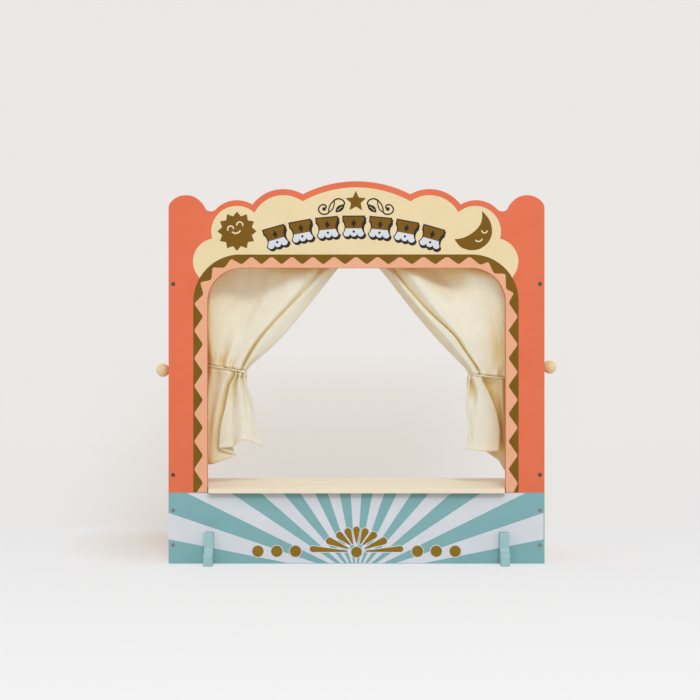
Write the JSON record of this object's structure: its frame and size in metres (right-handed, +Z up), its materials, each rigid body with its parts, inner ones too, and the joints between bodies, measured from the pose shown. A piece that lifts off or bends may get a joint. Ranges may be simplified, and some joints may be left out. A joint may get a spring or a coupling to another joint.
{
  "type": "tabletop puppet theatre",
  "caption": "Tabletop puppet theatre of painted boards: lobed arch over a stage opening, curtains tied back on a rod, side knobs that draw them, slot-in feet.",
  "frame": {"origin": "the middle of the footprint, on the table", "axes": "+X towards the right as the audience sees it, +Y from the audience towards the player, +Z up"},
  "size_m": [0.58, 0.144, 0.539],
  "materials": {
    "coral_paint": "satin paint on board",
    "teal_paint": "satin paint on board",
    "pale_teal_paint": "satin paint on board",
    "bare_wood": "sanded, matt",
    "calico": "unbleached plain weave",
    "cotton_cord": "twisted cotton",
    "screw_steel": "dull zinc"
  },
  "bodies": {
    "frame": {"arch_board": "coral_paint", "plinth_board": "teal_paint", "left_side_board": "coral_paint", "right_side_board": "coral_paint", "stage_board": "bare_wood", "curtain_rod": "bare_wood", "left_foot": "pale_teal_paint", "right_foot": "pale_teal_paint", "left_arch_screws": "screw_steel", "right_arch_screws": "screw_steel", "left_plinth_screws": "screw_steel", "right_plinth_screws": "screw_steel"},
    "left_draw": {"left_curtain": "calico", "left_tie_cord": "cotton_cord", "left_knob": "bare_wood", "left_knob_stem": "bare_wood"},
    "right_draw": {"right_curtain": "calico", "right_tie_cord": "cotton_cord", "right_knob": "bare_wood", "right_knob_stem": "bare_wood"}
  },
  "joints": [
    {"name": "left_knob_pull", "type": "slide", "parent": "frame", "child": "left_draw", "axis": [-1, 0, 0], "range_m": [-0.0062, 0.0197]},
    {"name": "right_knob_pull", "type": "slide", "parent": "frame", "child": "right_draw", "axis": [1, 0, 0], "range_m": [-0.0062, 0.0197]}
  ]
}
